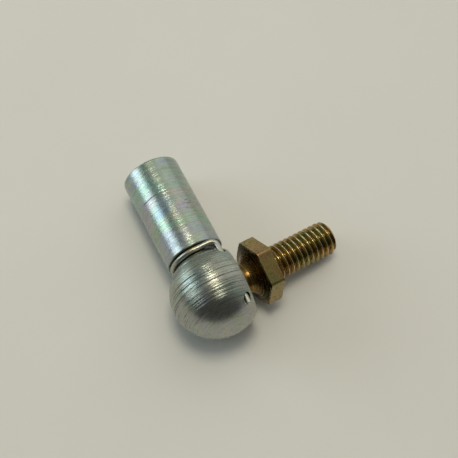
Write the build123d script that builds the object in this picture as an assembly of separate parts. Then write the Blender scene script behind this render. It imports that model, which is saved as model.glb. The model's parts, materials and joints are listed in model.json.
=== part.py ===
from build123d import *
import math
import os

# Angle ball joint, size 10, M6, with threaded ball stud and safety clip.
# Millimetres. The ball centre is the design centre of every piece.
# Socket frame: X runs along the shank axis towards the head, Y along the ball bore out of the
# flat face, Z across both.  Stud frame: Z runs from the ball centre out along the thread.

# ---- driving dimensions -------------------------------------------------------------------
BALL_R = 5.0             # ball radius
BALL_FLAT = 4.8          # ball centre to the small parting flat under the ball

SHANK_R = 5.0            # shank radius
SHANK_LEN = 25.0         # ball centre to the shank's end face
SHANK_CHAMFER = 0.30     # outer edge of the end face
HEAD_R = 7.5             # radius of the ball-shaped head
FLAT_OUT = 4.7           # ball centre to the head's flat face
FLAT_REACH = 6.4         # radius of the facing cut that makes it

NECK_R = 3.85            # floor of the neck groove
NECK_WALL = 7.43         # ball centre to the groove's shank-side wall
NECK_EDGE = 0.12         # small bevel on the groove's shank-side edge

THREAD_CORE_R = 2.5      # tapping-hole radius of the M6 thread in the shank
HOLE_DEPTH = 12.0        # full-diameter depth of the tapped hole
HOLE_SINK = 0.5          # countersink depth at the mouth

SEAT_R = 5.05            # ball seat and bore radius (0.05 running clearance)
BORE_CHAMFER = 0.3       # bevel at the bore's mouth
GROOVE_R = 5.42          # inner groove for the snap ring
GROOVE_LOW = 1.80
GROOVE_HIGH = 2.70

RING_WIRE_R = 0.40       # snap ring wire radius
RING_R = 4.97            # snap ring centre-line radius
RING_Y = 2.25            # snap ring height above the ball centre
RING_GAP = 46.0          # opening of the ring, degrees

CLIP_WIRE_R = 0.45       # safety clip wire radius
CLIP_X = -6.85           # plane of the bow
CLIP_Z = 4.35            # half the distance between the legs, and the bow's radius
CLIP_Y = 3.55            # height of the legs above the ball centre
CLIP_BEND = 1.0          # centre-line radius of the two bends
CLIP_TIP = 5.75          # where the legs end
LEG_HOLE_R = 0.75        # cross holes for the legs

NECK_STUD_R = 2.5        # stud neck radius
FLARE_R = 4.2            # where the flare meets the shallow cone
CONE_DEG = 15.0          # slope of the cone in front of the hexagon
HEX_AF = 10.0            # across flats
HEX_CORNER_R = 5.66      # the bar's rounded corners
HEX_FRONT = 7.7          # ball centre to the hexagon's front corners
HEX_BACK = 10.2          # ball centre to the seating face
STUD_R = 3.0             # M6
STUD_LEN = 12.6          # seating face to tip
STUD_CHAMFER = 0.65

# pose at rest: the head and the shank's end edge touch the ground, and the stud droops on to it
REST_LIFT = 7.5          # ball centre above the ground
STUD_BACK_DEG = 5.4      # stud leans towards the shank's end
STUD_DOWN_DEG = 10.98    # stud droops
STUD_SPIN_DEG = 23.7     # turn of the hexagon about the stud's axis

# ---- ball socket --------------------------------------------------------------------------
def turned(points, last=None):
    """Solid of revolution about X from (x, r) points."""
    with BuildPart() as p:
        with BuildSketch(Plane.XY):
            with BuildLine():
                Polyline(*points, close=True)
            make_face()
        revolve(axis=Axis.X)
    return p.part


shank = turned([
    (-SHANK_LEN, 0), (-SHANK_LEN, SHANK_R - SHANK_CHAMFER),
    (-SHANK_LEN + SHANK_CHAMFER, SHANK_R), (-NECK_WALL - NECK_EDGE, SHANK_R),
    (-NECK_WALL, SHANK_R - NECK_EDGE), (-NECK_WALL, NECK_R), (-5.2, NECK_R), (-5.2, 0)])
head = Sphere(HEAD_R)
socket = shank + head

# flat face, turned about the bore's axis, so it stops short of the shank
socket -= Pos(0, FLAT_OUT + 5, 0) * Rot(90, 0, 0) * Cylinder(FLAT_REACH, 10)

# ball seat, bore, mouth bevel and inner groove, all about Y
with BuildPart() as seat:
    with BuildSketch(Plane.XY):
        with BuildLine():
            l1 = Line((0, FLAT_OUT + 1), (SEAT_R + BORE_CHAMFER + 1, FLAT_OUT + 1))
            l2 = Line(l1 @ 1, (SEAT_R, FLAT_OUT - BORE_CHAMFER))
            l3 = Polyline(l2 @ 1, (SEAT_R, GROOVE_HIGH), (GROOVE_R, GROOVE_HIGH),
                          (GROOVE_R, GROOVE_LOW), (SEAT_R, GROOVE_LOW), (SEAT_R, 0))
            l4 = CenterArc((0, 0), SEAT_R, 0, -90)
            l5 = Line(l4 @ 1, (0, FLAT_OUT + 1))
        make_face()
    revolve(axis=Axis.Y)
socket -= seat.part

# tapped hole in the shank, with countersink and drill point
drill_tip = THREAD_CORE_R / math.tan(math.radians(59))
socket -= turned([
    (-SHANK_LEN - 1, 0), (-SHANK_LEN - 1, THREAD_CORE_R + HOLE_SINK + 1),
    (-SHANK_LEN + HOLE_SINK, THREAD_CORE_R), (-SHANK_LEN + HOLE_DEPTH, THREAD_CORE_R),
    (-SHANK_LEN + HOLE_DEPTH + drill_tip, 0)])

# cross holes for the clip's legs
for side in (1, -1):
    socket -= Pos(0.75, CLIP_Y, side * CLIP_Z) * Rot(0, 90, 0) * Cylinder(LEG_HOLE_R, 15.5)

# ---- safety clip --------------------------------------------------------------------------
m = math.sqrt(0.5)
bend_c = (CLIP_X + CLIP_BEND, CLIP_Y - CLIP_BEND)
with BuildPart() as clip:
    with BuildLine() as path:
        a1 = Line((CLIP_TIP, CLIP_Y, CLIP_Z), (bend_c[0], CLIP_Y, CLIP_Z))
        a2 = ThreePointArc(a1 @ 1, (bend_c[0] - CLIP_BEND * m, bend_c[1] + CLIP_BEND * m, CLIP_Z),
                           (CLIP_X, bend_c[1], CLIP_Z))
        a3 = Line(a2 @ 1, (CLIP_X, 0, CLIP_Z))
        a4 = ThreePointArc(a3 @ 1, (CLIP_X, -CLIP_Z, 0), (CLIP_X, 0, -CLIP_Z))
        a5 = Line(a4 @ 1, (CLIP_X, bend_c[1], -CLIP_Z))
        a6 = ThreePointArc(a5 @ 1, (bend_c[0] - CLIP_BEND * m, bend_c[1] + CLIP_BEND * m, -CLIP_Z),
                           (bend_c[0], CLIP_Y, -CLIP_Z))
        a7 = Line(a6 @ 1, (CLIP_TIP, CLIP_Y, -CLIP_Z))
    with BuildSketch(Plane(origin=(CLIP_TIP, CLIP_Y, CLIP_Z), z_dir=(-1, 0, 0))):
        Circle(CLIP_WIRE_R)
    sweep()
clip = clip.part

# ---- snap ring ----------------------------------------------------------------------------
half = RING_GAP / 2
def on_ring(deg):
    return (RING_R * math.cos(math.radians(deg)), RING_Y, RING_R * math.sin(math.radians(deg)))


with BuildPart() as ring:
    with BuildLine():
        ThreePointArc(on_ring(half), on_ring(180), on_ring(360 - half))
    with BuildSketch(Plane(origin=on_ring(half),
                           z_dir=(-math.sin(math.radians(half)), 0, math.cos(math.radians(half))))):
        Circle(RING_WIRE_R)
    sweep()
ring = ring.part

# ---- ball stud ----------------------------------------------------------------------------
cone = math.radians(CONE_DEG)
flare_z = HEX_FRONT - (HEX_AF / math.sqrt(3) - FLARE_R) * math.tan(cone)
flare_rad = (FLARE_R - NECK_STUD_R) / (1 - math.cos(math.pi / 2 - cone))
neck_z = flare_z - flare_rad * math.sin(math.pi / 2 - cone)
cx, cz = NECK_STUD_R + flare_rad, neck_z
mid = (math.pi / 2 - cone) / 2
outer = 6.4
with BuildPart() as blank:
    with BuildSketch(Plane.XZ):
        with BuildLine():
            Polyline((0, 3.0), (NECK_STUD_R, 3.0), (NECK_STUD_R, neck_z))
            ThreePointArc((NECK_STUD_R, neck_z),
                          (cx - flare_rad * math.cos(mid), cz + flare_rad * math.sin(mid)),
                          (FLARE_R, flare_z))
            Polyline((FLARE_R, flare_z),
                     (outer, flare_z + (outer - FLARE_R) * math.tan(cone)),
                     (outer, HEX_BACK), (0, HEX_BACK), (0, 3.0))
        make_face()
    revolve(axis=Axis.Z)
hexagon = extrude(Plane.XY.offset(2.9) * RegularPolygon(HEX_AF / 2, 6, major_radius=False), 12)
hexagon &= Pos(0, 0, 8) * Cylinder(HEX_CORNER_R, 14)
hexagon = Rot(0, 0, STUD_SPIN_DEG) * hexagon      # a corner lies this far from the frame's X
stud = blank.part & hexagon
ball = Sphere(BALL_R) - Pos(0, 0, -BALL_FLAT - 5) * Box(20, 20, 10)
stud += ball
with BuildPart() as thread:
    with BuildSketch(Plane.XZ):
        with BuildLine():
            tip = HEX_BACK + STUD_LEN
            Polyline((0, HEX_BACK - 0.5), (STUD_R, HEX_BACK - 0.5), (STUD_R, tip - STUD_CHAMFER),
                     (STUD_R - STUD_CHAMFER, tip), (0, tip), close=True)
        make_face()
    revolve(axis=Axis.Z)
stud += thread.part

# ---- pose at rest -------------------------------------------------------------------------
# shank slope: the head's sphere and the end's outer edge stand on the ground together
edge_x = SHANK_LEN - SHANK_CHAMFER
span = math.hypot(edge_x, SHANK_R)
slope = math.asin(REST_LIFT / span) - math.atan2(SHANK_R, edge_x)
lay = Rot(0, -math.degrees(slope), 0)

back = math.tan(math.radians(STUD_BACK_DEG))
down = math.tan(math.radians(STUD_DOWN_DEG))
stud_dir = Vector(-back, 1, -down).normalized()          # in the socket frame
x_ref = (Vector(1, 0, 0) - stud_dir * stud_dir.X).normalized()
stud = Plane(origin=(0, 0, 0), x_dir=x_ref, z_dir=stud_dir).location * stud

pieces = {"ball_socket": socket, "safety_clip": clip, "snap_ring": ring, "ball_stud": stud}
pieces = {k: lay * v for k, v in pieces.items()}

# the origin is the middle of the footprint, on the ground
low = [min(getattr(v.bounding_box().min, ax) for v in pieces.values()) for ax in "XYZ"]
high = [max(getattr(v.bounding_box().max, ax) for v in pieces.values()) for ax in "XYZ"]
shift = Pos(-(low[0] + high[0]) / 2, -(low[1] + high[1]) / 2, REST_LIFT)

os.makedirs("parts", exist_ok=True)
for name, shape in pieces.items():
    placed = shift * shape
    solids = placed.solids()
    bb = placed.bounding_box()
    mesh = placed.tessellate(0.005, 0.05)[0]
    print(name, "solids", len(solids), "volume %.2f" % placed.volume,
          "low", [round(v, 4) for v in bb.min], "high", [round(v, 4) for v in bb.max],
          "lowest point %.4f" % min(v.Z for v in mesh))
    export_step(solids[0] if len(solids) == 1 else placed, f"parts/{name}.step")
print("slope %.4f deg, ball centre %.5f %.5f %.5f" % (
    math.degrees(slope), -(low[0] + high[0]) / 2, -(low[1] + high[1]) / 2, REST_LIFT))
print("stud direction in the socket frame", tuple(round(v, 6) for v in stud_dir))
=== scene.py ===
import json
import math
import bpy
import numpy as np
from mathutils import Matrix, Vector


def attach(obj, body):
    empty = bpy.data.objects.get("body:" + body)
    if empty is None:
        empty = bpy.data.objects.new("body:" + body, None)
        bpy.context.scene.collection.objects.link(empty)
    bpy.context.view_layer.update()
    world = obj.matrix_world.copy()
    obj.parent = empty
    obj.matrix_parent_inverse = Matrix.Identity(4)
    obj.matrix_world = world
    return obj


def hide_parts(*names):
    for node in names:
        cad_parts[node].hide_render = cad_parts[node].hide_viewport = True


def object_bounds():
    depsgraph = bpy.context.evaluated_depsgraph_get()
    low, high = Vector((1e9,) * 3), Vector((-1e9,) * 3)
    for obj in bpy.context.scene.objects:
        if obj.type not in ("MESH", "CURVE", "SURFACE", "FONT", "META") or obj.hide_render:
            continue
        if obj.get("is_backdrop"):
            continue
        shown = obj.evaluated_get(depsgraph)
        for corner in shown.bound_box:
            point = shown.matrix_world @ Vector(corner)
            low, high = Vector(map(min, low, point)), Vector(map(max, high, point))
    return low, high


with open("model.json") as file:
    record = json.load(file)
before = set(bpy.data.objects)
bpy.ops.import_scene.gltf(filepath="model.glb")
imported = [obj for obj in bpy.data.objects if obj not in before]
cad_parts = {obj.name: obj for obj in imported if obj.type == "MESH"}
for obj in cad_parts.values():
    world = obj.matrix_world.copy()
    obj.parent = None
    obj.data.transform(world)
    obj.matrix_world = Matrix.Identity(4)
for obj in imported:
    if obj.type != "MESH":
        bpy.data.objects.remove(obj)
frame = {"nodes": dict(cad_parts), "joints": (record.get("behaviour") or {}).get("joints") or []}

cad_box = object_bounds()
MM = 0.001
rng = np.random.RandomState(7)

# ---- frames, the same numbers as the part ------------------------------------------------
slope = math.asin(7.5 / math.hypot(24.7, 5.0)) - math.atan2(5.0, 24.7)
cs, sn = math.cos(slope), math.sin(slope)
C = Vector(frame["joints"][0]["pos_m"])
M_SOCKET = Matrix(((cs, 0, -sn, C.x), (0, 1, 0, C.y), (sn, 0, cs, C.z), (0, 0, 0, 1)))
b = Vector((-math.tan(math.radians(5.4)), 1, -math.tan(math.radians(10.98)))).normalized()
xr = (Vector((1, 0, 0)) - b * b.x).normalized()
yr = b.cross(xr)
spin = math.radians(23.7)
xs = xr * math.cos(spin) + yr * math.sin(spin)      # towards a hexagon corner
ys = b.cross(xs)
M_STUD = M_SOCKET @ Matrix(((xs.x, ys.x, b.x, 0), (xs.y, ys.y, b.y, 0), (xs.z, ys.z, b.z, 0), (0, 0, 0, 1)))


# ---- mesh helpers -------------------------------------------------------------------------
def make(name, verts, faces, matrix):
    me = bpy.data.meshes.new(name)
    me.from_pydata([tuple(v) for v in verts], [], faces)
    me.validate()
    ob = bpy.data.objects.new(name, me)
    bpy.context.scene.collection.objects.link(ob)
    ob.matrix_world = matrix
    return ob


def rings_solid(name, rings, matrix):
    """Closed solid from equal rings of points, capped by fans."""
    n = len(rings[0])
    verts = [p for r in rings for p in r]
    faces = []
    for j in range(len(rings) - 1):
        for i in range(n):
            k = (i + 1) % n
            faces.append((j * n + i, j * n + k, (j + 1) * n + k, (j + 1) * n + i))
    a, z = len(verts), len(verts) + 1
    verts = verts + [np.mean(rings[0], 0), np.mean(rings[-1], 0)]
    top = (len(rings) - 1) * n
    for i in range(n):
        k = (i + 1) % n
        faces.append((a, k, i))
        faces.append((z, top + i, top + k))
    return make(name, verts, faces, matrix)


def ring_x(x, r, th):          # around X, radius may vary with the angle
    return np.stack([np.full_like(th, x), r * np.cos(th), r * np.sin(th)], 1) * MM


def ring_y(y, r, th):
    return np.stack([r * np.sin(th), np.full_like(th, y), r * np.cos(th)], 1) * MM


def ring_z(z, r, th):
    return np.stack([r * np.cos(th), r * np.sin(th), z + 0 * th], 1) * MM


def helix_rod(name, s0, s1, pitch, u, pr, env, th, place, matrix):
    """Screw thread as one closed solid; rows follow the helix, env(s, r) trims it."""
    K, N = len(u), len(th)
    uu = np.concatenate([u - 1, u, u + 1])
    rr = np.concatenate([pr, pr, pr])
    n_p = int((s1 - s0) / pitch) + 5
    S = np.array([s0 + (k - 2 + x) * pitch for k in range(n_p) for x in u])
    verts, idx = [], []
    for i in range(N):
        lead = pitch * th[i] / (2 * math.pi)
        col, last, lastv = [], None, -1
        for s in S:
            c = min(max(s + lead, s0), s1)
            if last is None or c - last > 1e-6:
                r = np.interp(((c - lead - s0) / pitch) % 1.0, uu, rr)
                verts.append(place(c, env(c, r), th[i]))
                lastv, last = len(verts) - 1, c
            col.append(lastv)
        idx.append(col)
    faces = []
    T = len(S)
    for i in range(N):
        wrap = i == N - 1
        A, B, off = idx[i], idx[(i + 1) % N], (K if wrap else 0)
        for j in range(T - 1):
            q = [A[j], B[min(j + off, T - 1)], B[min(j + 1 + off, T - 1)], A[j + 1]]
            f = [v for n_, v in enumerate(q) if v != q[n_ - 1]]
            if len(set(f)) >= 3:
                faces.append(tuple(f))
    lo, hi = [c[0] for c in idx], [c[-1] for c in idx]
    a = len(verts)
    verts.append(place(s0, 0, 0))
    verts.append(place(s1, 0, 0))
    for i in range(N):
        k = (i + 1) % N
        faces.append((a, lo[k], lo[i]))
        faces.append((a + 1, hi[i], hi[k]))
    return make(name, verts, faces, matrix)


def cut(ob, tool, op="DIFFERENCE"):
    m = ob.modifiers.new("b", "BOOLEAN")
    m.operation, m.solver, m.object = op, "MANIFOLD", tool
    bpy.context.view_layer.update()
    dg = bpy.context.evaluated_depsgraph_get()
    me = bpy.data.meshes.new_from_object(ob.evaluated_get(dg))
    ob.modifiers.clear()
    if len(me.polygons) == 0:
        raise RuntimeError("empty result: " + ob.name + " " + tool.name)
    ob.data = me
    bpy.data.objects.remove(tool)


def smooth(ob, angle=32):
    me = ob.data
    me.polygons.foreach_set("use_smooth", [True] * len(me.polygons))
    me.set_sharp_from_angle(angle=math.radians(angle))


def ridges(t, pitch, amp, seed, deep=0.0, share=7):
    """Irregular tool marks along t (mm); result is zero or below."""
    g = np.random.RandomState(seed)
    n = int((t.max() - t.min()) / pitch) + 3
    depth = amp * g.uniform(0.15, 1.0, n)
    for k in g.choice(n, max(1, n // share), replace=False):
        depth[k] += deep * g.uniform(0.4, 1.0)
    f = (t - t.min()) / pitch
    k = np.clip(f.astype(int), 0, n - 1)
    return -depth[k] * np.sin(np.pi * (f - k)) ** 2


# ---- ball socket --------------------------------------------------------------------------
N = 160
th = np.linspace(0, 2 * math.pi, N, endpoint=False)
rings = [ring_x(-25.0, 1.2, th), ring_x(-25.0, 3.6, th), ring_x(-25.0, 4.58, th), ring_x(-25.0, 4.66, th)]
for k in range(1, 6):                                   # soft edge of the end face
    a = k / 5 * math.pi / 2
    rings.append(ring_x(-24.7 - 0.30 * math.cos(a), 4.70 + 0.30 * math.sin(a), th))
xs_ = np.concatenate([np.arange(-24.62, -18.70, 0.115), [-18.64, -18.60, -18.57, -18.55, -18.53, -18.50, -18.46],
                      np.arange(-18.38, -7.66, 0.115)])
rip = ridges(xs_, 0.345, 0.0065, 3, 0.009)
phi = np.arctan2(np.cos(th), np.sin(th))                # angle from the top towards +Y
win = 1 / (1 + np.exp(-(phi + 0.88) * 22)) / (1 + np.exp((phi - 0.20) * 22))
for x, d in zip(xs_, rip):
    w = 0.032 * math.exp(-((x + 18.55) / 0.035) ** 2)
    rings.append(ring_x(x, 5.0 + d - w * win, th))
rings += [ring_x(x, r, th) for x, r in ((-7.60, 5.0), (-7.57, 5.0), (-7.535, 4.985), (-7.46, 4.925), (-7.435, 4.88),
                                        (-7.43, 4.84), (-7.43, 4.5), (-7.43, 3.95), (-7.42, 3.87), (-7.38, 3.85),
                                        (-6.9, 3.85), (-6.52, 3.85))]
al = np.linspace(math.radians(149.0), math.radians(1.2), 300)
rip = ridges(7.5 * (al.max() - al), 0.262, 0.034, 11, 0.065, 3)
rip *= np.clip((al - math.radians(46)) / math.radians(26), 0.04, 1.0)
for a, d in zip(al, rip):
    rings.append(ring_x((7.5 + d) * math.cos(a), (7.5 + d) * math.sin(a), th))
socket = rings_solid("socket_body", rings, M_SOCKET)

t2 = np.linspace(0, 2 * math.pi, 128, endpoint=False)
face = [ring_y(4.7, r, t2) for r in (2.0, 5.2, 5.6, 5.79, 5.815)] + \
       [ring_y(4.693, 5.832, t2), ring_y(4.672, 5.86, t2), ring_y(4.64, 5.895, t2), ring_y(4.64, 6.4, t2), ring_y(12, 6.4, t2)]
cut(socket, rings_solid("c1", face, M_SOCKET))
bore = [ring_y(-5.04, 0.25, t2)]
bore += [ring_y(-5.05 * math.cos(a), 5.05 * math.sin(a), t2) for a in np.linspace(0.12, math.pi / 2, 26)]
bore += [ring_y(y, r, t2) for y, r in ((0.9, 5.05), (1.78, 5.05), (1.80, 5.07), (1.80, 5.42), (2.70, 5.42), (2.70, 5.07),
                                       (2.72, 5.05), (3.6, 5.05), (4.36, 5.05), (4.40, 5.055), (4.43, 5.08), (4.66, 5.31), (5.5, 6.15))]
cut(socket, rings_solid("c2", bore, M_SOCKET))
for side in (1, -1):
    t3 = np.linspace(0, 2 * math.pi, 40, endpoint=False)
    hole = [np.stack([np.full_like(t3, x), 3.55 + r * np.cos(t3), side * 4.35 + r * np.sin(t3)], 1) * MM
            for x, r in ((-7.0, 0.75), (8.5, 0.75))]
    cut(socket, rings_solid("c3", hole, M_SOCKET))

# inside thread of the shank
u_in = np.array([0.0, 0.06, 0.10, 0.35, 0.375, 0.42, 0.5, 0.58, 0.625, 0.65, 0.90, 0.94])
r_in = np.array([3.0, 3.0, 2.965, 2.545, 2.515, 2.50, 2.50, 2.50, 2.515, 2.545, 2.965, 3.0])


def env_in(s, r):
    d = s + 25.0
    if d < 0.5:
        return max(r, 3.0 - d)
    fade = min(1.0, max(0.0, (9.9 - d) / 1.2))
    return 2.5 + (r - 2.5) * fade


tin = np.linspace(0, 2 * math.pi, 96, endpoint=False)
cut(socket, helix_rod("c4", -26.0, -14.6, 1.0, u_in, r_in, env_in, tin,
                      lambda s, r, t: (s * MM, r * math.cos(t) * MM, r * math.sin(t) * MM), M_SOCKET))
tip = 2.5 / math.tan(math.radians(59))
cut(socket, rings_solid("c5", [ring_x(-15.0, 2.4999, tin), ring_x(-13.0, 2.4999, tin), ring_x(-13.0 + tip * 0.97, 0.075, tin)], M_SOCKET))
smooth(socket, 30)

# ---- ball stud ----------------------------------------------------------------------------
N = 180
th = np.linspace(0, 2 * math.pi, N, endpoint=False)
hexr = 5.0 / np.cos((th % (math.pi / 3)) - math.pi / 6)
hexr = np.minimum(hexr, 5.66)
tc = math.tan(math.radians(15))
rings = [ring_z(-4.8, r, th) for r in (0.5, 1.15, 1.33)]
for a in np.linspace(math.asin(1.40 / 5.0), math.pi - math.asin(2.5 / 5.0), 46):
    rings.append(ring_z(-5.0 * math.cos(a), 5.0 * math.sin(a), th))
flare_z = 7.7 - (10 / math.sqrt(3) - 4.2) * tc
rad = 1.7 / (1 - math.cos(math.radians(75)))
nz = flare_z - rad * math.sin(math.radians(75))
rings += [ring_z(z, 2.5, th) for z in (4.36, 4.4, 4.7, nz - 0.1)]
pts = [(nz + rad * math.sin(a), 2.5 + rad * (1 - math.cos(a))) for a in np.linspace(0, math.radians(75), 62)]
pts += [(flare_z + (r - 4.2) * tc, r) for r in np.linspace(4.24, 4.92, 16)]
pts = np.array(pts)
arc = np.concatenate([[0], np.cumsum(np.hypot(*np.diff(pts, axis=0).T))])
rip = ridges(arc, 0.19, 0.014, 21, 0.022, 4)
nrm = np.gradient(pts, axis=0)
nrm = nrm / np.linalg.norm(nrm, axis=1)[:, None]
for (z, r), d, (dz, dr) in zip(pts, rip, nrm):
    rings.append(ring_z(z - d * dr, r + d * dz, th))
cone = lambda r: 7.7 - (10 / math.sqrt(3) - r) * tc
for k in np.linspace(0.12, 0.97, 14):                  # cone out to the hexagon's edge
    r = 4.93 + (hexr - 0.10 - 4.93) * k
    w = 0.5 * (1 - math.cos(k * 14 * math.pi))
    rings.append(ring_z(cone(r) + 0.012 * w, r, th))
for e, z in ((0.09, 0), (0.055, 0.002), (0.020, 0.014), (0.004, 0.038), (0.0, 0.075), (0.0, 0.13)):
    r = hexr - e
    rings.append(ring_z(cone(r) + z, r, th))
for z, e in ((8.6, 0), (9.4, 0), (10.05, 0), (10.12, 0), (10.165, 0.006), (10.19, 0.026), (10.2, 0.06), (10.2, 0.11)):
    rings.append(ring_z(z, hexr - e, th))
for k in (0.8, 0.5, 0.2):
    rings.append(ring_z(10.2, 1.6 + (hexr - 1.7) * k, th))
rings.append(ring_z(10.2, 1.2, th))
stud = rings_solid("stud_body", rings, M_STUD)

u = np.array([0.0, 0.035, 0.060, 0.085, 0.20, 0.335, 0.375, 0.42, 0.50, 0.58, 0.625, 0.665, 0.80, 0.915, 0.940, 0.965])
pr = np.array([2.995, 2.990, 2.972, 2.935, 2.74, 2.515, 2.462, 2.425, 2.410, 2.425, 2.462, 2.515, 2.74, 2.935, 2.972, 2.990])
END = 22.8


def env_out(s, r):
    d = s - 10.2
    k = min(1.0, max(0.0, (d - 0.55) / 1.1))
    k = k * k * (3 - 2 * k)
    r = 2.70 + (r - 2.70) * k
    if d < 0.35:
        f = min(max(d, 0.0), 0.35)
        r = max(r, 2.70 + 0.35 - math.sqrt(0.35 ** 2 - (0.35 - f) ** 2))
    e = END - s
    if e < 0.65:
        r = min(r, 2.30 + 0.65 * math.sin(math.acos(1 - max(e, 0) / 0.65)) * 0.35 + e * 0.70)
    return r


tho = np.linspace(0, 2 * math.pi, 120, endpoint=False)
rod = helix_rod("rod", 9.9, END, 1.0, u, pr, env_out, tho,
                lambda s, r, t: (r * math.cos(t) * MM, r * math.sin(t) * MM, s * MM), M_STUD)
cut(stud, rod, "UNION")
smooth(stud, 30)


# ---- wires --------------------------------------------------------------------------------
def wire(name, pts, rad, matrix, n=24, end=0.10):
    """Round wire along dense points; its cut ends have a small rolled edge."""
    P = np.array(pts, float)
    T = np.gradient(P, axis=0)
    T /= np.linalg.norm(T, axis=1)[:, None]
    up = np.cross(T[0], [0.3, 0.5, 0.81])
    up /= np.linalg.norm(up)
    t = np.linspace(0, 2 * math.pi, n, endpoint=False)
    frames = []
    for d in T:
        up = up - d * (up @ d)
        up /= np.linalg.norm(up)
        frames.append((up.copy(), np.cross(d, up)))

    def loop(p, f, r):
        return (p + r * (np.cos(t)[:, None] * f[0] + np.sin(t)[:, None] * f[1])) * MM
    rr = [loop(P[0], frames[0], rad * 0.45), loop(P[0], frames[0], rad - end)]
    for a in (30, 60):
        a = math.radians(a)
        rr.append(loop(P[0] + T[0] * end * (1 - math.cos(a)), frames[0], rad - end + end * math.sin(a)))
    L = np.concatenate([[0], np.cumsum(np.linalg.norm(np.diff(P, axis=0), axis=1))])
    for p, f, l in zip(P, frames, L):
        if l > end * 1.05 and L[-1] - l > end * 1.05:
            rr.append(loop(p, f, rad))
    for a in (60, 30):
        a = math.radians(a)
        rr.append(loop(P[-1] - T[-1] * end * (1 - math.cos(a)), frames[-1], rad - end + end * math.sin(a)))
    rr += [loop(P[-1], frames[-1], rad - end), loop(P[-1], frames[-1], rad * 0.45)]
    ob = rings_solid(name, rr, matrix)
    smooth(ob, 40)
    return ob


def arc(c, r, a0, a1, u_, v_, n):
    a = np.radians(np.linspace(a0, a1, n))
    return [np.array(c) + r * (math.cos(x) * np.array(u_) + math.sin(x) * np.array(v_)) for x in a]


X, Y, Z = (1, 0, 0), (0, 1, 0), (0, 0, 1)
leg = [np.array((x, 3.55, 4.35)) for x in np.linspace(5.75, -5.80, 70)]
leg += arc((-5.85, 2.55, 4.35), 1.0, 90, 180, X, Y, 14)
leg += [np.array((-6.85, y, 4.35)) for y in np.linspace(2.45, 0.1, 12)]
bow = arc((-6.85, 0, 0), 4.35, 0, -90, Z, Y, 40)
half = leg + bow
clip = wire("clip_wire", half + [p * (1, 1, -1) for p in half[::-1][1:]], 0.45, M_SOCKET)
ring = wire("ring_wire", arc((0, 2.25, 0), 4.97, 23, 337, X, Z, 160), 0.40, M_SOCKET)


# ---- materials ----------------------------------------------------------------------------
class Nodes:
    def __init__(self, name, matrix=None):
        self.mat = bpy.data.materials.new(name)
        self.mat.use_nodes = True
        self.t = self.mat.node_tree
        self.p = self.t.nodes["Principled BSDF"]
        tc = self.t.nodes.new("ShaderNodeTexCoord")
        sc = self.t.nodes.new("ShaderNodeMapping")        # to the piece's own frame, in millimetres
        inv = (matrix or Matrix.Identity(4)).inverted()
        sc.inputs["Scale"].default_value = (1000.0,) * 3
        sc.inputs["Rotation"].default_value = inv.to_euler("XYZ")
        sc.inputs["Location"].default_value = inv.translation * 1000.0
        self.t.links.new(tc.outputs["Object"], sc.inputs["Vector"])
        self.mm = sc.outputs[0]
        sp = self.t.nodes.new("ShaderNodeSeparateXYZ")
        self.t.links.new(self.mm, sp.inputs[0])
        self.x, self.y, self.z = sp.outputs

    def put(self, sock, v):
        if isinstance(v, bpy.types.NodeSocket):
            self.t.links.new(v, sock)
        else:
            sock.default_value = v

    def math(self, op, a, b_=0.0, c=0.0, clamp=False):
        n = self.t.nodes.new("ShaderNodeMath")
        n.operation, n.use_clamp = op, clamp
        self.put(n.inputs[0], a)
        self.put(n.inputs[1], b_)
        self.put(n.inputs[2], c)
        return n.outputs[0]

    def noise(self, vec, scale, detail=2.0, rough=0.5, dist=0.0, stretch=None):
        if stretch:
            m = self.t.nodes.new("ShaderNodeVectorMath")
            m.operation = "MULTIPLY"
            self.put(m.inputs[0], vec)
            m.inputs[1].default_value = stretch
            vec = m.outputs[0]
        n = self.t.nodes.new("ShaderNodeTexNoise")
        self.put(n.inputs["Vector"], vec)
        n.inputs["Scale"].default_value = scale
        n.inputs["Detail"].default_value = detail
        n.inputs["Roughness"].default_value = rough
        n.inputs["Distortion"].default_value = dist
        return n.outputs["Fac"]

    def line(self, w, scale, detail=2.0, rough=0.6):
        n = self.t.nodes.new("ShaderNodeTexNoise")
        n.noise_dimensions = "1D"
        self.put(n.inputs["W"], w)
        n.inputs["Scale"].default_value = scale
        n.inputs["Detail"].default_value = detail
        n.inputs["Roughness"].default_value = rough
        return n.outputs["Fac"]

    def ramp(self, fac, stops):
        n = self.t.nodes.new("ShaderNodeValToRGB")
        e = n.color_ramp.elements
        while len(e) < len(stops):
            e.new(0.5)
        for el, (p, c) in zip(e, stops):
            el.position = p
            el.color = (c, c, c, 1) if isinstance(c, (int, float)) else (*c, 1)
        self.put(n.inputs[0], fac)
        return n.outputs[0]

    def mix(self, fac, a, c, mode="MIX"):
        n = self.t.nodes.new("ShaderNodeMix")
        n.data_type, n.blend_type = "RGBA", mode
        self.put(n.inputs[0], fac)
        for s, v in ((n.inputs[6], a), (n.inputs[7], c)):
            self.put(s, v if isinstance(v, bpy.types.NodeSocket) else (*v, 1))
        return n.outputs[2]

    def map(self, v, a, c, lo=0.0, hi=1.0):
        n = self.t.nodes.new("ShaderNodeMapRange")
        n.interpolation_type = "SMOOTHSTEP"
        self.put(n.inputs[0], v)
        for k, val in zip((1, 2, 3, 4), (a, c, lo, hi)):
            n.inputs[k].default_value = val
        return n.outputs[0]

    def bump(self, height, dist, strength=1.0, normal=None):
        n = self.t.nodes.new("ShaderNodeBump")
        n.inputs["Strength"].default_value = strength
        n.inputs["Distance"].default_value = dist
        self.put(n.inputs["Height"], height)
        if normal is not None:
            self.put(n.inputs["Normal"], normal)
        return n.outputs[0]


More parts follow.
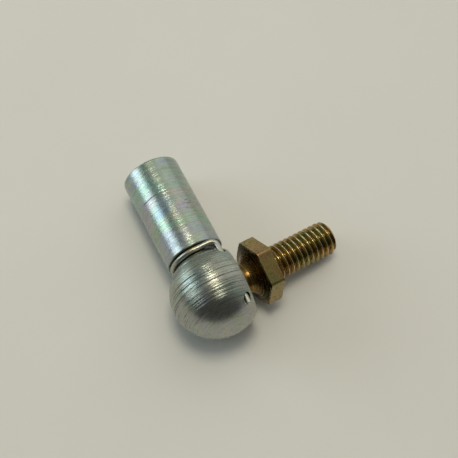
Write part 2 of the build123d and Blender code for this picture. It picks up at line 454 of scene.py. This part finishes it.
def socket_material():
    m = Nodes("zinc_blue", M_SOCKET)
    tint = m.ramp(m.noise(m.mm, 0.20, 2.0, 0.5, 0.6, (1.3, 0.7, 0.7)),
                  [(0.28, (0.31, 0.42, 0.49)), (0.42, (0.38, 0.49, 0.43)), (0.52, (0.46, 0.48, 0.41)),
                   (0.62, (0.44, 0.43, 0.50)), (0.76, (0.36, 0.45, 0.34))])
    along = m.ramp(m.map(m.x, -25.0, -7.0), [(0.0, (0.86, 1.0, 0.98)), (0.29, (0.88, 1.0, 1.0)), (0.31, (0.99, 0.95, 1.0)),
                                              (0.60, (1.0, 0.97, 1.02)), (0.72, (0.88, 1.0, 0.90)), (1.0, (0.93, 1.0, 1.0))])
    col = m.mix(1.0, tint, along, "MULTIPLY")
    head = m.map(m.x, -6.6, -6.2)
    col = m.mix(head, col, m.mix(0.50, tint, (0.37, 0.37, 0.32)))
    streaks = m.line(m.x, 5.0, 4.0, 0.7)
    col = m.mix(m.math("MULTIPLY", m.map(streaks, 0.42, 0.66, 0.0, 0.35), m.map(m.x, 3.2, 5.6, 1.0, 0.1)), col, (0.25, 0.26, 0.23))
    wide = m.line(m.math("ADD", m.x, m.math("MULTIPLY", m.noise(m.mm, 0.4, 1.0), 0.10)), 3.1, 3.0, 0.75)
    broken = m.map(m.noise(m.mm, 1.0, 3.0, 0.6, 0.0, (1.6, 0.35, 0.35)), 0.40, 0.60)
    col = m.mix(m.math("MULTIPLY", m.map(wide, 0.50, 0.58, 0.0, 1.0), m.math("MULTIPLY", broken, m.math("MULTIPLY", m.map(m.x, -6.6, -6.2, 0.30, 0.95), m.map(m.x, 3.2, 5.6, 1.0, 0.05)))), col, (0.13, 0.135, 0.12))
    patch = m.noise(m.mm, 1.6, 5.0, 0.65, 0.3, (1.0, 0.45, 0.45))
    col = m.mix(m.map(patch, 0.54, 0.72, 0.0, 0.35), col, (0.27, 0.25, 0.19))
    specks = m.noise(m.mm, 5.5, 3.0, 0.6, 0.0, (1.0, 0.45, 0.45))
    speck = m.map(specks, 0.67, 0.74)
    col = m.mix(speck, col, (0.10, 0.10, 0.09))
    # scribed mark, whose dark colour on the −Y half only is painted shade in the groove, and a few small scratches
    dx = m.math("ABSOLUTE", m.math("ADD", m.x, 18.55))
    inwin = m.math("MULTIPLY", m.map(m.y, -4.0, -3.7), m.map(m.y, 0.7, 1.1, 1.0, 0.0))
    inwin = m.math("MULTIPLY", inwin, m.map(m.z, 1.0, 1.5))
    scribe_painted_shade = m.math("MULTIPLY", m.map(dx, 0.02, 0.09, 1.0, 0.0), inwin)
    # painted shade: the scribed groove darkened on its −Y half, fading out towards +Y
    col = m.mix(m.math("MULTIPLY", scribe_painted_shade, m.map(m.y, -1.9, -0.9, 0.75, 0.0)), col, (0.10, 0.11, 0.11))
    n = m.t.nodes.new("ShaderNodeVectorMath")
    n.operation = "DISTANCE"
    m.put(n.inputs[0], m.mm)
    n.inputs[1].default_value = (-14.6, 3.45, 3.6)
    near = m.map(n.outputs["Value"], 1.3, 2.3, 1.0, 0.0)
    marks = m.math("MULTIPLY", m.map(m.noise(m.mm, 1.0, 1.0, 0.5, 0.4, (5.2, 0.8, 0.8)), 0.60, 0.66), near)
    col = m.mix(m.math("MULTIPLY", marks, 0.65), col, (0.13, 0.15, 0.13))
    # the machined inside is plainer
    r2 = m.math("SQRT", m.math("ADD", m.math("POWER", m.y, 2.0), m.math("POWER", m.z, 2.0)))
    inner = m.math("MULTIPLY", m.map(m.x, -12.0, -12.5), m.map(r2, 3.1, 3.2, 1.0, 0.0))
    col = m.mix(m.math("MULTIPLY", inner, 0.55), col, (0.40, 0.40, 0.34))
    # painted shade: near-black colour in the neck groove, where the recess lies in shade
    groove_painted_shade = m.math("MULTIPLY", m.map(m.x, -7.41, -7.33), m.map(m.x, -6.45, -6.30, 1.0, 0.0))
    groove_painted_shade = m.math("MULTIPLY", groove_painted_shade, m.map(r2, 4.95, 4.80))
    col = m.mix(m.math("MULTIPLY", groove_painted_shade, 0.80), col, (0.07, 0.068, 0.055))
    m.put(m.p.inputs["Base Color"], col)
    m.p.inputs["Metallic"].default_value = 1.0
    rough = m.math("ADD", m.map(patch, 0.3, 0.7, 0.0, 0.09), m.map(streaks, 0.3, 0.7, 0.19, 0.28))
    rough = m.math("ADD", rough, m.math("MULTIPLY", speck, 0.25))
    m.put(m.p.inputs["Roughness"], rough)
    n1 = m.bump(m.math("MULTIPLY", m.line(m.x, 3.2, 4.0, 0.75), m.math("MULTIPLY", m.map(m.x, 3.0, 5.5, 1.0, 0.15), m.map(m.x, -6.7, -6.2, 0.5, 1.0))), 0.000050, 1.0)
    n2 = m.bump(m.math("SUBTRACT", m.math("MULTIPLY", patch, 0.6), speck), 0.000010, 0.5, n1)
    m.put(m.p.inputs["Normal"], n2)
    return m.mat


def stud_material():
    m = Nodes("zinc_yellow", M_STUD)
    f = m.noise(m.mm, 0.42, 3.0, 0.55, 0.8)
    col = m.ramp(f, [(0.26, (0.19, 0.205, 0.075)), (0.40, (0.28, 0.24, 0.085)), (0.50, (0.34, 0.25, 0.085)),
                     (0.60, (0.33, 0.19, 0.085)), (0.74, (0.26, 0.23, 0.105))])
    mott = m.noise(m.mm, 2.6, 5.0, 0.65, 0.4)
    col = m.mix(m.map(mott, 0.50, 0.62, 0.0, 0.75), col, (0.16, 0.085, 0.035))
    grain = m.noise(m.mm, 4.2, 3.0, 0.6)
    col = m.mix(m.map(grain, 0.46, 0.66, 0.0, 0.45), col, (0.46, 0.38, 0.19))
    col = m.mix(m.map(mott, 0.42, 0.30, 0.0, 0.40), col, (0.42, 0.37, 0.20))
    r2 = m.math("SQRT", m.math("ADD", m.math("POWER", m.x, 2.0), m.math("POWER", m.y, 2.0)))
    front = m.map(m.z, 7.45, 6.9)
    col = m.mix(m.math("MULTIPLY", front, 0.75), col, (0.62, 0.31, 0.07))
    # turning rings on the cone and flare, painted near-black: a real ring pattern, and also a painted dark reflection
    # on the cone
    rings_and_dark_reflection = m.math("MULTIPLY", m.map(m.line(r2, 3.4, 2.0, 0.6), 0.34, 0.54), m.map(m.z, 7.72, 7.60))
    col = m.mix(m.math("MULTIPLY", rings_and_dark_reflection, 0.80), col, (0.05, 0.046, 0.018))
    thread = m.map(m.z, 10.3, 10.6)
    root_painted_shade = m.math("MULTIPLY", thread, m.map(r2, 2.72, 2.44))
    crest_painted_highlight = m.math("MULTIPLY", thread, m.map(r2, 2.90, 2.98))
    side = m.map(m.noise(m.mm, 0.33, 2.0, 0.5), 0.40, 0.60)
    col = m.mix(m.math("MULTIPLY", thread, 0.55), col, m.mix(side, (0.60, 0.34, 0.10), (0.36, 0.34, 0.09)))
    # painted shade: thread roots darkened almost to black
    col = m.mix(m.math("MULTIPLY", root_painted_shade, 0.75), col, (0.07, 0.055, 0.02))
    # painted highlight: thread crests lightened
    col = m.mix(m.math("MULTIPLY", crest_painted_highlight, 0.55), col, (0.68, 0.58, 0.42))
    speck = m.map(m.noise(m.mm, 6.5, 3.0, 0.6), 0.66, 0.73)
    col = m.mix(m.math("MULTIPLY", speck, 0.8), col, (0.08, 0.05, 0.03))
    m.put(m.p.inputs["Base Color"], col)
    m.p.inputs["Metallic"].default_value = 1.0
    smoother = thread
    rough = m.math("ADD", m.map(mott, 0.35, 0.7, 0.22, 0.36), m.math("MULTIPLY", smoother, -0.09))
    m.put(m.p.inputs["Roughness"], rough)
    turned = m.math("MULTIPLY", m.line(r2, 9.0, 3.0, 0.6), m.map(m.z, 7.9, 7.6))
    n1 = m.bump(turned, 0.000018, 0.8)
    n2 = m.bump(m.math("SUBTRACT", mott, speck), 0.000012, 0.5, n1)
    m.put(m.p.inputs["Normal"], n2)
    return m.mat


def wire_material(name, c1, c2, c3):
    m = Nodes(name, M_SOCKET)
    f = m.noise(m.mm, 0.5, 3.0, 0.6, 0.5)
    col = m.ramp(f, [(0.32, c1), (0.50, c2), (0.68, c3)])
    fine = m.noise(m.mm, 5.0, 4.0, 0.65)
    col = m.mix(m.map(fine, 0.52, 0.70, 0.0, 0.5), col, (0.14, 0.13, 0.10))
    m.put(m.p.inputs["Base Color"], col)
    m.p.inputs["Metallic"].default_value = 1.0
    m.put(m.p.inputs["Roughness"], m.map(fine, 0.3, 0.7, 0.28, 0.46))
    m.put(m.p.inputs["Normal"], m.bump(fine, 0.000012, 0.5))
    return m.mat


for ob, mat, body, node, slot in (
        (socket, socket_material(), "socket", "ball_socket", "socket_zinc"),
        (stud, stud_material(), "stud", "ball_stud", "stud_zinc"),
        (clip, wire_material("spring_wire", (0.52, 0.50, 0.41), (0.44, 0.45, 0.41), (0.55, 0.50, 0.33)), "socket", "safety_clip", "clip_steel"),
        (ring, wire_material("ring_wire_steel", (0.44, 0.44, 0.43), (0.52, 0.52, 0.50), (0.38, 0.37, 0.34)), "ring", "snap_ring", "ring_steel")):
    ob.data.transform(ob.matrix_world)
    ob.matrix_world = Matrix.Identity(4)
    ob.data.materials.clear()
    ob.data.materials.append(mat)
    cad = frame["nodes"][node]
    for k in range(len(cad.material_slots)):
        cad.material_slots[k].material = mat
    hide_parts(node)
    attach(ob, body)

# ---- floor, light, camera -----------------------------------------------------------------
g = 40
gv = [((i / g - 0.5) * 3.0, (j / g - 0.5) * 3.0, 0.0) for j in range(g + 1) for i in range(g + 1)]
gf = [(j * (g + 1) + i, j * (g + 1) + i + 1, (j + 1) * (g + 1) + i + 1, (j + 1) * (g + 1) + i) for j in range(g) for i in range(g)]
floor = make("floor", gv, gf, Matrix.Identity(4))
fm = Nodes("floor_paper")
fc = fm.ramp(fm.noise(fm.mm, 0.03, 4.0, 0.6), [(0.3, (0.665, 0.655, 0.615)), (0.7, (0.685, 0.675, 0.635))])
fm.put(fm.p.inputs["Base Color"], fc)
fm.p.inputs["Roughness"].default_value = 0.75
fm.p.inputs["Specular IOR Level"].default_value = 0.25
fm.put(fm.p.inputs["Normal"], fm.bump(fm.noise(fm.mm, 1.2, 4.0, 0.6), 0.00002, 0.25))
floor.data.materials.append(fm.mat)
floor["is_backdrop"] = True


def area(name, direction, dist, w, h, radiance, color):
    d = Vector(direction).normalized()
    li = bpy.data.lights.new(name, "AREA")
    li.shape, li.size, li.size_y = "RECTANGLE", w, h
    li.color = color
    li.energy = radiance * math.pi * w * h
    ob = bpy.data.objects.new(name, li)
    ob.location = C + d * dist
    ob.rotation_euler = (-d).to_track_quat("-Z", "Y").to_euler()
    bpy.context.scene.collection.objects.link(ob)
    return ob


area("light_left", (-0.62, -0.74, 0.37), 0.60, 0.34, 0.34, 2.9, (0.84, 0.97, 1.0))
area("light_top", (-0.14, 0.08, 0.99), 0.60, 0.17, 0.17, 12.5, (1.0, 0.92, 0.74))
area("light_right", (-0.45, 0.85, 0.46), 0.80, 0.90, 0.55, 0.42, (1.0, 0.99, 0.95))
area("light_warm", (-0.50, 0.32, 0.80), 0.60, 0.50, 0.40, 0.26, (1.0, 0.90, 0.72))
fill = area("light_fill", (-0.22, 0.26, 0.94), 0.80, 1.00, 1.00, 0.52, (1.0, 0.985, 0.96))
fill.visible_glossy = False

w = bpy.data.worlds.new("studio")
bpy.context.scene.world = w
w.use_nodes = True
wt = w.node_tree
bg = wt.nodes["Background"]
tcw = wt.nodes.new("ShaderNodeTexCoord")


def dot(direction):
    n = wt.nodes.new("ShaderNodeVectorMath")
    n.operation = "DOT_PRODUCT"
    wt.links.new(tcw.outputs["Generated"], n.inputs[0])
    n.inputs[1].default_value = Vector(direction).normalized()
    return n.outputs["Value"]


def wmap(v, a, c, lo, hi):
    n = wt.nodes.new("ShaderNodeMapRange")
    n.interpolation_type = "SMOOTHSTEP"
    wt.links.new(v, n.inputs[0])
    for k, val in zip((1, 2, 3, 4), (a, c, lo, hi)):
        n.inputs[k].default_value = val
    return n.outputs[0]


def wmix(fac, a, c):
    n = wt.nodes.new("ShaderNodeMix")
    n.data_type = "RGBA"
    wt.links.new(fac, n.inputs[0])
    for s, v in ((n.inputs[6], a), (n.inputs[7], c)):
        if isinstance(v, tuple):
            s.default_value = (*v, 1)
        else:
            wt.links.new(v, s)
    return n.outputs[2]


sky = wmix(wmap(dot((-0.5, 0.86, 0.1)), -0.6, 0.7, 0.0, 1.0), (0.10, 0.125, 0.14), (0.37, 0.385, 0.35))
sky = wmix(wmap(dot((0.86, -0.40, 0.30)), 0.10, 0.70, 0.0, 0.95), sky, (0.065, 0.065, 0.058))
wt.links.new(sky, bg.inputs["Color"])
bg.inputs["Strength"].default_value = 1.0

f_px, az, el, cx, cy, dist = 1187.956, 1.10175317, 1.22263731, 214.6462, 293.1633, 0.1942958
h_ = Vector((-math.sin(az), math.cos(az), 0))
right = Vector((math.cos(az), math.sin(az), 0))
fwd = h_ * math.cos(el) - Vector((0, 0, math.sin(el)))
upv = right.cross(fwd)
px, py = (cx - 228.5) / f_px, -(cy - 228.5) / f_px
cam = bpy.data.cameras.new("camera")
cam.sensor_width = 36.0
cam.lens = f_px * 36.0 / 458.0
cam.clip_start = 0.005
co = bpy.data.objects.new("camera", cam)
loc = C - dist * (fwd + px * right + py * upv)
co.matrix_world = Matrix(((right.x, upv.x, -fwd.x, loc.x), (right.y, upv.y, -fwd.y, loc.y),
                          (right.z, upv.z, -fwd.z, loc.z), (0, 0, 0, 1)))
bpy.context.scene.collection.objects.link(co)
bpy.context.scene.camera = co
bpy.context.scene.view_settings.view_transform = "Standard"

new_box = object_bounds()
flat = lambda bx: [[float(c) for c in v] for v in bx]
{"cad": flat(cad_box), "visual": flat(new_box)}
